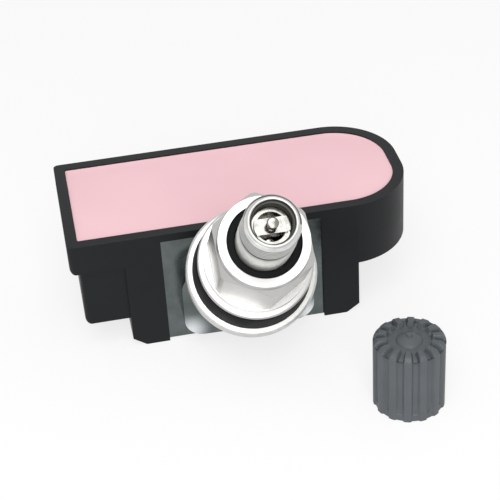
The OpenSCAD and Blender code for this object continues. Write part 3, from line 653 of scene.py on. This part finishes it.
tin = ((0.6, 0.6, 0.58, 1), (0.75, 0.75, 0.72, 1), 1.0, (0.25, 0.4))
soft_seal = (rubber_dark, rubber_pale, 0.0, (0.5, 0.65))
inside = {
    "circuit_board": ((0.012, 0.10, 0.04, 1), (0.02, 0.16, 0.06, 1), 0.0, (0.35, 0.5)),
    "sensor_chip": ((0.02, 0.02, 0.022, 1), (0.04, 0.04, 0.042, 1), 0.0, (0.45, 0.6)),
    "port_gasket": ((0.25, 0.25, 0.25, 1), (0.35, 0.35, 0.34, 1), 0.0, (0.55, 0.7)),
    "crystal": tin,
    "chip_capacitors": ((0.38, 0.27, 0.16, 1), (0.5, 0.37, 0.24, 1), 0.0, (0.5, 0.65)),
    "antenna_loop": ((0.6, 0.45, 0.2, 1), (0.75, 0.58, 0.3, 1), 1.0, (0.25, 0.4)),
    "coil_core": ((0.05, 0.05, 0.05, 1), (0.09, 0.09, 0.09, 1), 0.0, (0.5, 0.65)),
    "coil_winding": ((0.5, 0.2, 0.08, 1), (0.68, 0.32, 0.14, 1), 1.0, (0.25, 0.4)),
    "battery_cell": ((0.5, 0.5, 0.51, 1), (0.66, 0.67, 0.68, 1), 1.0, (0.2, 0.35)),
    "battery_tab_top": tin,
    "battery_tab_bottom": tin,
    "core_barrel": ((0.10, 0.085, 0.05, 1), (0.16, 0.135, 0.08, 1), 1.0, (0.3, 0.45)),
    "core_gasket": ((0.45, 0.06, 0.04, 1), (0.6, 0.1, 0.07, 1), 0.0, (0.5, 0.65)),
    "core_seal": soft_seal,
    "cap_seal": soft_seal,
}
for node, (dark, pale, metallic, rough) in inside.items():
    inner_finish = finish(node + "_finish", dark, pale, rough, pattern=moulded_grain, sizes=(500, 6000),
                          height=0.005 * mm, metallic=metallic)
    nodes[node].data.materials.clear()
    nodes[node].data.materials.append(inner_finish)


# Studio
# The sensor rests on a plain white table under broad soft lamps, seen by the
# camera from the photograph's place.

eye = Vector((-27.502, -171.248, 122.806)) * mm
aim = Vector((0.1, 15.048, -4.498)) * mm
roll = radians(-3.922)
sensor_width, lens, shift = 36, 108.07, (0.0235, -0.0387)
camera = bpy.data.objects.new("camera", bpy.data.cameras.new("camera"))
camera.data.sensor_width = sensor_width
camera.data.lens = lens
camera.data.shift_x, camera.data.shift_y = shift
camera.data.clip_start = 10 * mm
camera.location = eye
camera.rotation_mode = "QUATERNION"
camera.rotation_quaternion = (aim - eye).to_track_quat("-Z", "Y") @ Quaternion((0, 0, 1), roll)
bpy.context.scene.collection.objects.link(camera)
bpy.context.scene.camera = camera


def seen(tree):
    """1 where the camera, a reflection or glass shows a surface, and 0 where it only gives light."""
    path = tree.nodes.new("ShaderNodeLightPath")
    direct = maths(tree, "MAXIMUM")
    shown = maths(tree, "MAXIMUM")
    link_all(tree, (
        (path.outputs["Is Camera Ray"], direct.inputs[0]),
        (path.outputs["Is Glossy Ray"], direct.inputs[1]),
        (direct.outputs[0], shown.inputs[0]),
        (path.outputs["Is Transmission Ray"], shown.inputs[1]),
    ))
    return shown.outputs[0]


table_white, table_wash, table_rough, table_specular = 0.96, 0.75, 0.8, 0.2
table_half, table_gap = 3.0, 0.02 * mm
grid = bmesh.new()
bmesh.ops.create_grid(grid, x_segments=2, y_segments=2, size=table_half,
                      matrix=Matrix.Translation((0, 0, cap_foot - table_gap)))
table_mesh = bpy.data.meshes.new("table")
grid.to_mesh(table_mesh)
grid.free()
table = bpy.data.objects.new("table", table_mesh)
bpy.context.scene.collection.objects.link(table)
table_finish = bpy.data.materials.new("table_white")
table_finish.use_nodes = True
tree = table_finish.node_tree
table_shader = tree.nodes["Principled BSDF"]
table_shader.inputs["Base Color"].default_value = (table_white, table_white, table_white, 1)
table_shader.inputs["Roughness"].default_value = table_rough
table_shader.inputs["Specular IOR Level"].default_value = table_specular
washed = maths(tree, "MULTIPLY", table_wash)
paper = tree.nodes.new("ShaderNodeEmission")
paper.inputs["Color"].default_value = (1, 1, 1, 1)
paper.inputs["Strength"].default_value = 1.0
blend = tree.nodes.new("ShaderNodeMixShader")
link_all(tree, (
    (seen(tree), washed.inputs[0]),
    (washed.outputs[0], blend.inputs["Fac"]),
    (table_shader.outputs["BSDF"], blend.inputs[1]),
    (paper.outputs["Emission"], blend.inputs[2]),
    (blend.outputs["Shader"], tree.nodes["Material Output"].inputs["Surface"]),
))
table_mesh.materials.append(table_finish)

world_light, world_seen = 0.5, 1.0
world = bpy.data.worlds.new("studio")
bpy.context.scene.world = world
world.use_nodes = True
backdrop = world.node_tree.nodes["Background"]
backdrop.inputs["Color"].default_value = (1, 1, 1, 1)
strength = rescaled(world.node_tree, 0, 1, world_light, world_seen)
link_all(world.node_tree, (
    (seen(world.node_tree), strength.inputs["Value"]),
    (strength.outputs["Result"], backdrop.inputs["Strength"]),
))

for name, place, size, power in (
    ("lamp_above", (-60, -220, 380), 300, 0.95),
    ("lamp_front", (-50, -430, 200), 300, 1.1),
):
    lamp = bpy.data.objects.new(name, bpy.data.lights.new(name, "AREA"))
    lamp.data.size = size * mm
    lamp.data.energy = power
    lamp.location = Vector(place) * mm
    lamp.rotation_mode = "QUATERNION"
    lamp.rotation_quaternion = (-Vector(place)).to_track_quat("-Z", "Y")
    bpy.context.scene.collection.objects.link(lamp)

bpy.context.scene.view_settings.view_transform = "Standard"
